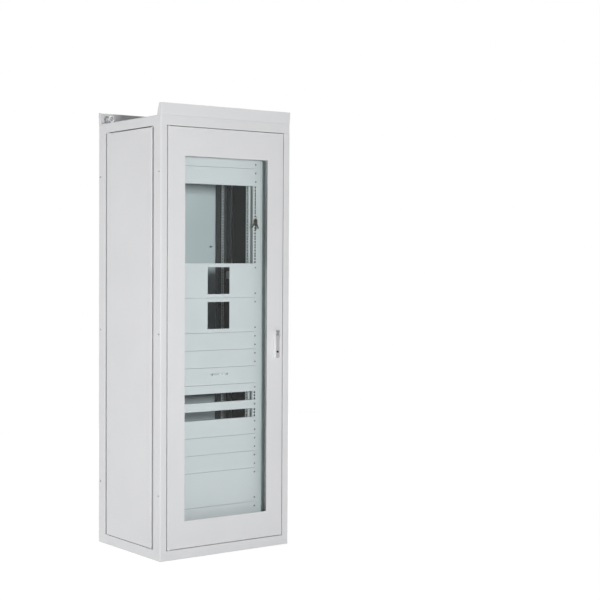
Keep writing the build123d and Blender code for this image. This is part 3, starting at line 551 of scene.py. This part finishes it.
# The strips' darker, greener coat is painted shade, for the shaded band beside the rails.
shaded_strip_coat = powder_coat("strip_coat_with_painted_shade", (0.615, 0.660, 0.655), (0.655, 0.700, 0.695))
rack_parts = (
    ("depth_braces", "depth_tubes", cabinet_coat, "cabinet_paint", 0.0025, 0.0008),
    ("rail_brackets", "bracket_plates", cabinet_coat, "cabinet_paint", 0.0022, 0.0005),
    ("filler_strip_left", "left_filler_sheet", shaded_strip_coat, "rail_paint", 0.0020, 0.0006),
    ("filler_strip_right", "right_filler_sheet", shaded_strip_coat, "rail_paint", 0.0020, 0.0006),
)
for node, name, finish, slot, outside, inside in rack_parts:
    piece = folded(node, name, finish, outside, inside)
    in_place_of(piece, node, "cabinet")

# Hexagon screws that hold each bracket: one into the tube and one into the rail's lip.
# They are zinc-plated steel, each with a washer.
zinc = plated("zinc_plate", (0.50, 0.52, 0.54), (0.70, 0.72, 0.74), 0.36, 120.0)
head = cylinder(6, 0.0056, 0.004, 0.0032)
chamfer(head, 0.0006, 1, lambda centre, normal: normal.z > 0.9)
washer = cylinder(20, 0.0066, 0.0012, 0.0006)
hex_screw = join([head, washer], "bracket_screws")
bracket_low, bracket_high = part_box("rail_brackets")
brace_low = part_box("depth_braces")[0].z
brace_steps = (0.0, 0.435, 1.265, 1.915)
screw_rise = 0.024
screw_inset = 0.011
rail_lip = 0.268
bracket_sheet = 0.002
screws = []
for step in brace_steps:
    for y in (bracket_low.y + screw_inset, bracket_high.y - screw_inset):
        for side_x in (-1, 1):
            for x, turn in ((rail_lip + bracket_sheet, 1), (bracket_high.x - bracket_sheet, -1)):
                place = Matrix.Translation((side_x * x, y, brace_low + step + screw_rise))
                spin = Matrix.Rotation(side_x * turn * math.pi / 2, 4, 'Y')
                screws.append(moved_copy(hex_screw, place @ spin))
bpy.data.objects.remove(hex_screw)
screws = join(screws, "bracket_screws")
smooth_bends(screws)
screws.data.materials.append(zinc)
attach(screws, "cabinet")

# Rack panels of 2 mm sheet, folded at the top and bottom, with the drawer's front among them.
# Two of the four-unit panels have a square opening for an instrument.
panel_nodes = sorted(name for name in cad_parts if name.startswith("panel_"))
for node in panel_nodes:
    piece = folded(node, node.replace("panel_", "rack_panel_"), rack_coat, 0.0012, 0.0004)
    in_place_of(piece, node, "cabinet")

# Pan-head screws with a cross recess, two at each end of a panel, or one where it is one unit high.
# They go through the ears into the rails' square holes.
screw_steel = plated("screw_steel", (0.20, 0.21, 0.21), (0.34, 0.35, 0.35), 0.38, 300.0)
head_height = 0.0026
pan_screw = cylinder(16, 0.0042, head_height, head_height / 2)
pan_screw.name = "panel_screws"
chamfer(pan_screw, 0.0011, 3, lambda centre, normal: normal.z > 0.9)
bpy.ops.object.mode_set(mode='EDIT')
select_faces(pan_screw, lambda centre, normal: normal.z > 0.999)
bpy.ops.mesh.inset(thickness=0.0009)
bpy.ops.mesh.select_mode(type='VERT')
bpy.ops.mesh.select_all(action='DESELECT')
mesh = bmesh.from_edit_mesh(pan_screw.data)
for corner in mesh.verts:
    reach = math.hypot(corner.co.x, corner.co.y)
    off_axis = min(abs(corner.co.x), abs(corner.co.y))
    if corner.co.z > head_height - 0.0001 and reach < 0.0024 and off_axis > 0.0003:
        corner.select = True
bmesh.update_edit_mesh(pan_screw.data)
bpy.ops.transform.resize(value=(0.42, 0.42, 1), center_override=(0, 0, head_height))
select_faces(pan_screw, lambda centre, normal: normal.z > 0.9 and centre.xy.length < 0.0003)
bpy.ops.mesh.extrude_region_move(TRANSFORM_OT_translate={"value": (0, 0, -0.0018)})
bpy.ops.transform.resize(value=(0.6, 0.6, 1), center_override=(0, 0, head_height))
bpy.ops.object.mode_set(mode='OBJECT')
facing_front = Matrix.Rotation(math.pi / 2, 4, 'X')
hole_x = 0.23255
hole_from_edge = 0.0218
two_rows_from = 0.05
screws = []
for node in panel_nodes:
    low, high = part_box(node)
    for z in (low.z + hole_from_edge, high.z - hole_from_edge):
        if high.z - low.z < two_rows_from and z > (low.z + high.z) / 2:
            continue
        for x in (-hole_x, hole_x):
            screws.append(moved_copy(pan_screw, Matrix.Translation((x, low.y, z)) @ facing_front))
screws = join(screws, "panel_screws")
smooth_bends(screws)
screws.data.materials.append(screw_steel)
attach(screws, "cabinet")

# The drawer: a painted front and tray of folded sheet.
# Plated runners at the tray's sides slide in fixed channels.
drawer_parts = (
    ("drawer_front", "drawer_face", rack_coat, "drawer", "rack_paint", 0.0012, 0.0004),
    ("drawer_tray", "drawer_box", rack_coat, "drawer", "rack_paint", 0.0016, 0.0006),
    ("runner_channels", "fixed_runners", zinc, "cabinet", "zinc", 0.0014, 0.0),
    ("runner_slides", "sliding_runners", zinc, "drawer", "zinc", 0.0012, 0.0),
)
for node, name, finish, body, slot, outside, inside in drawer_parts:
    piece = folded(node, name, finish, outside, inside)
    in_place_of(piece, node, body)

# Bow pull on the drawer: one bright round rod bent twice, its ends screwed to the front.
# The rod's section is drawn at one end, pushed out, and spun through each bend.
pull_low, pull_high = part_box("drawer_pull")
rod_radius = 0.0045
bend_radius = 0.011
pull_half = pull_high.x - rod_radius
pull_z = (pull_low.z + pull_high.z) / 2
pull_out = pull_low.y + rod_radius
bpy.ops.object.select_all(action='DESELECT')
bpy.ops.mesh.primitive_circle_add(
    vertices=20, radius=rod_radius, fill_type='NGON',
    location=(-pull_half, pull_high.y, pull_z), rotation=(math.pi / 2, 0, 0),
)
pull = bpy.context.object
pull.name = "bow_pull"
settle(pull)
bpy.ops.object.mode_set(mode='EDIT')
bpy.ops.mesh.select_all(action='SELECT')
leg = pull_high.y - pull_out - bend_radius
bpy.ops.mesh.extrude_region_move(TRANSFORM_OT_translate={"value": (0, -leg, 0)})
left_bend = (-pull_half + bend_radius, pull_out + bend_radius, pull_z)
bpy.ops.mesh.spin(steps=8, angle=math.pi / 2, center=left_bend, axis=(0, 0, 1))
straight = 2 * (pull_half - bend_radius)
bpy.ops.mesh.extrude_region_move(TRANSFORM_OT_translate={"value": (straight, 0, 0)})
right_bend = (pull_half - bend_radius, pull_out + bend_radius, pull_z)
bpy.ops.mesh.spin(steps=8, angle=math.pi / 2, center=right_bend, axis=(0, 0, 1))
bpy.ops.mesh.extrude_region_move(TRANSFORM_OT_translate={"value": (0, leg, 0)})
bpy.ops.mesh.select_all(action='SELECT')
bpy.ops.mesh.remove_doubles(threshold=0.00001)
bpy.ops.mesh.normals_make_consistent(inside=False)
bpy.ops.object.mode_set(mode='OBJECT')
smooth_bends(pull)
pull.data.materials.append(bright_steel)
in_place_of(pull, "drawer_pull", "drawer")

# Three spare keys on a split ring, hung from two holes of the right front rail.
# Nickel-plated brass, worn brown on the bows.
key_metal = plated("worn_key_brass", (0.10, 0.085, 0.065), (0.28, 0.25, 0.20), 0.34, 220.0)
for node, name in (("key_ring", "split_ring"), ("door_keys", "spare_keys")):
    piece = body_copy(node, name)
    smooth_bends(piece)
    piece.data.materials.append(key_metal)
    in_place_of(piece, node, "cabinet")

# Turned steel pins on which the three doors hang, two to a door.
# They are fixed in the flanges of the base ring and of the top ring.
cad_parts["door_pivot_pins"].data.materials.clear()
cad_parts["door_pivot_pins"].data.materials.append(bright_steel)

# The glazed front door: a folded frame of 1.5 mm sheet with the window cut out.
# Four channels inside it, around the window, stiffen it and take the glass clips' screws.
piece = folded("front_door_frame", "front_door_sheet", cabinet_coat, 0.0, 0.0007)
in_place_of(piece, "front_door_frame", "front_door")
piece = folded("front_door_stiffeners", "window_channels", cabinet_coat, 0.0022, 0.0007)
in_place_of(piece, "front_door_stiffeners", "front_door")

# Toughened glass, 5 mm thick and slightly green, on a black rubber frame.
# Lamps reach the rack through it, and both faces mirror a little of the room.
mirrored_face_on = 0.0165
mirrored_edge_on = 0.985
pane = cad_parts["front_door_glass"]
glass = bpy.data.materials.new("green_float_glass")
glass.use_nodes = True
nodes, links = glass.node_tree.nodes, glass.node_tree.links
nodes.clear()
through = nodes.new("ShaderNodeBsdfTransparent")
through.inputs["Color"].default_value = (0.965, 0.990, 0.990, 1)
mirror = nodes.new("ShaderNodeBsdfGlossy")
mirror.inputs["Roughness"].default_value = 0.0
weight = nodes.new("ShaderNodeLayerWeight")
weight.inputs["Blend"].default_value = 0.5
steep = nodes.new("ShaderNodeMath")
steep.operation = 'POWER'
steep.inputs[1].default_value = 5.0
mirrored = nodes.new("ShaderNodeMath")
mirrored.operation = 'MULTIPLY_ADD'
mirrored.inputs[1].default_value = mirrored_edge_on
mirrored.inputs[2].default_value = mirrored_face_on
links.new(weight.outputs["Facing"], steep.inputs[0])
links.new(steep.outputs[0], mirrored.inputs[0])
either = nodes.new("ShaderNodeMixShader")
links.new(mirrored.outputs[0], either.inputs["Fac"])
links.new(through.outputs[0], either.inputs[1])
links.new(mirror.outputs[0], either.inputs[2])
out = nodes.new("ShaderNodeOutputMaterial")
links.new(either.outputs[0], out.inputs["Surface"])
pane.data.materials.clear()
pane.data.materials.append(glass)

rubber, tree, shader, coordinates = start_finish("window_rubber")
dust = noise(tree, coordinates, 60.0, 3.0)
rubber_colour = between(tree, dust, (0.018, 0.018, 0.018), (0.045, 0.045, 0.043))
tree.links.new(rubber_colour, shader.inputs["Base Color"])
tree.links.new(spread(tree, dust, 0.62, 0.82), shader.inputs["Roughness"])
piece = folded("front_door_gasket", "window_seal", rubber, 0.0, 0.0)
in_place_of(piece, "front_door_gasket", "front_door")

# Plated angle clips hold the glass: five at each side, two above and two below.
# Each has one pan-head screw into the channel beside it.
piece = folded("front_glass_clips", "glass_clip_plates", zinc, 0.0012, 0.0)
in_place_of(piece, "front_glass_clips", "front_door")
clip_screw_y = -0.2825
side_clip_x = 0.2645
side_clip_heights = (0.3688, 0.7324, 1.0960, 1.4596, 1.8232)
end_clip_x = 0.128
end_clip_heights = ((2.0135, math.pi), (0.1785, 0.0))
screws = []
for side in (-1, 1):
    inward = Matrix.Rotation(-side * math.pi / 2, 4, 'Y')
    for z in side_clip_heights:
        place = Matrix.Translation((side * side_clip_x, clip_screw_y, z))
        screws.append(moved_copy(pan_screw, place @ inward))
    for z, turn in end_clip_heights:
        place = Matrix.Translation((side * end_clip_x, clip_screw_y, z))
        screws.append(moved_copy(pan_screw, place @ Matrix.Rotation(turn, 4, 'X')))
bpy.data.objects.remove(pan_screw)
screws = join(screws, "clip_screws")
smooth_bends(screws)
screws.data.materials.append(zinc)
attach(screws, "front_door")

# Both swing-handle locks: a backing plate, a lever with a fork about the spindle's head,
# the cylinder's plug, and the cam behind the door. The plate has the door's coat,
# and the levers are die-cast zinc. Their sides and backs, and the spindle head's sides, carry
# a painted highlight in a pale coat. The spindle head's dark grey is partly painted shade,
# and the lever's faces around the plug's bore carry near-black painted shade.
casting = plated("satin_lock_casting", (0.42, 0.41, 0.44), (0.52, 0.51, 0.54), 0.40, 260.0)
# Painted highlight: a near-white coat for the lever's and spindle head's lit sides.
highlight_lacquer = powder_coat("painted_highlight_lacquer", (0.900, 0.898, 0.906), (0.940, 0.938, 0.946))
# The spindle head's dark grey is partly its own colour and partly painted shade between the fork's prongs.
shaded_head_finish, tree, shader, coordinates = start_finish("lock_head_with_painted_shade")
grain = noise(tree, coordinates, 240.0, 3.0)
shaded_head_colour = between(tree, grain, (0.22, 0.21, 0.235), (0.32, 0.31, 0.335))
tree.links.new(shaded_head_colour, shader.inputs["Base Color"])
tree.links.new(spread(tree, grain, 0.38, 0.52), shader.inputs["Roughness"])
# Near-black for the plug, also used as painted shade around the plug's bore on the lever.
plug_and_bore_shade = plated("plug_black_and_bore_shade", (0.006, 0.005, 0.005), (0.020, 0.018, 0.018), 0.35, 400.0)


def cast(node, name, finish, rounding):
    """A cast part: the CAD shape with its sharp edges softened."""
    piece = body_copy(node, name)
    soft = piece.modifiers.new("soft", 'BEVEL')
    soft.width = rounding
    soft.segments = 2
    soft.limit_method = 'ANGLE'
    soft.angle_limit = math.radians(30)
    bpy.ops.object.modifier_apply(modifier="soft")
    smooth_bends(piece)
    piece.data.materials.append(finish)
    return piece


bore_reach = 0.0075
for side, door in (("front", "front_door"), ("rear", "rear_door_left")):
    lock_pieces = (
        ("lock_plate", "backing_plate", cabinet_coat, door, "lock_casting", 0.0003),
        ("lock_spindle", "spindle_head", shaded_head_finish, side + "_spindle", "lock_head", 0.0006),
        ("lock_cam", "cam_tongue", zinc, side + "_spindle", "zinc", 0.0003),
        ("lock_lever", "swing_lever", casting, side + "_lever", "lock_casting", 0.0008),
        ("key_plug", "cylinder_plug", plug_and_bore_shade, side + "_key", "lock_barrel", 0.0002),
    )
    for part, title, finish, body, slot, rounding in lock_pieces:
        piece = cast(side + "_" + part, side + "_" + title, finish, rounding)
        if part == "lock_lever":
            plug_low, plug_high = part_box(side + "_key_plug")
            bore = (plug_low + plug_high) / 2
            outward = -1 if side == "front" else 1
            # Painted highlight on the lever's sides and back.
            paint_where(piece, highlight_lacquer, lambda centre, normal: normal.y * outward < 0.6)
            # Painted shade: the lever's faces around the plug's bore are coloured near-black.
            paint_where(piece, plug_and_bore_shade, lambda centre, normal: (centre - bore).xz.length < bore_reach)
        if part == "lock_spindle":
            # Painted highlight on the spindle head's sides.
            paint_where(piece, highlight_lacquer, lambda centre, normal: abs(normal.x) > 0.8)
        in_place_of(piece, side + "_" + part, body)

# Two plain rear doors of folded sheet, with rows of vent slots near the floor.
# Their inner faces carry painted light: a paler, cooler coat for the light that falls on them
# through the front. The right one carries an earthing stud with its nut and washer.
lit_inner_coat = powder_coat("inner_door_painted_light", (0.730, 0.786, 0.804), (0.750, 0.806, 0.824))
for node, name in (("rear_door_left", "rear_left_leaf"), ("rear_door_right", "rear_right_leaf")):
    piece = folded(node, name, cabinet_coat, 0.0, 0.0007)
    # Painted light: the rear doors' inner faces are coloured paler and cooler.
    paint_where(piece, lit_inner_coat, lambda centre, normal: normal.y < -0.5)
    in_place_of(piece, node, node)
stud_place = Matrix.Translation((0.316, 0.2976, 1.566)) @ facing_front
nut = cylinder(6, 0.0064, 0.0052, 0.0038)
chamfer(nut, 0.0007, 1, lambda centre, normal: normal.z > 0.9)
washer = cylinder(20, 0.0070, 0.0012, 0.0006)
stud = cylinder(20, 0.0030, 0.0150, 0.0075)
chamfer(stud, 0.0006, 2, lambda centre, normal: normal.z > 0.9)
stud = join([stud, nut, washer], "earthing_stud")
stud.data.transform(stud_place)
smooth_bends(stud)
stud.data.materials.append(zinc)
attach(stud, "rear_door_right")

# A rubber strip with a rounded nose closes the gap between the rear doors.
# It is stuck to the left door's folded edge, clear of the right one.
low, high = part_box("rear_door_left")
seal_width = 0.0034
seal_depth = 0.012
seal_behind_face = 0.015
seal_ends = 0.012
seal_middle = (high.x + seal_width / 2, high.y - seal_behind_face, (low.z + high.z) / 2)
bpy.ops.object.select_all(action='DESELECT')
bpy.ops.mesh.primitive_cube_add(size=1, location=seal_middle)
seal = bpy.context.object
seal.name = "leaf_seal"
seal.scale = (seal_width, seal_depth, high.z - low.z - seal_ends)
settle(seal)
chamfer(seal, 0.0014, 3, lambda centre, normal: normal.x > 0.9)
smooth_bends(seal)
seal.data.materials.append(rubber)
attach(seal, "rear_door_left")
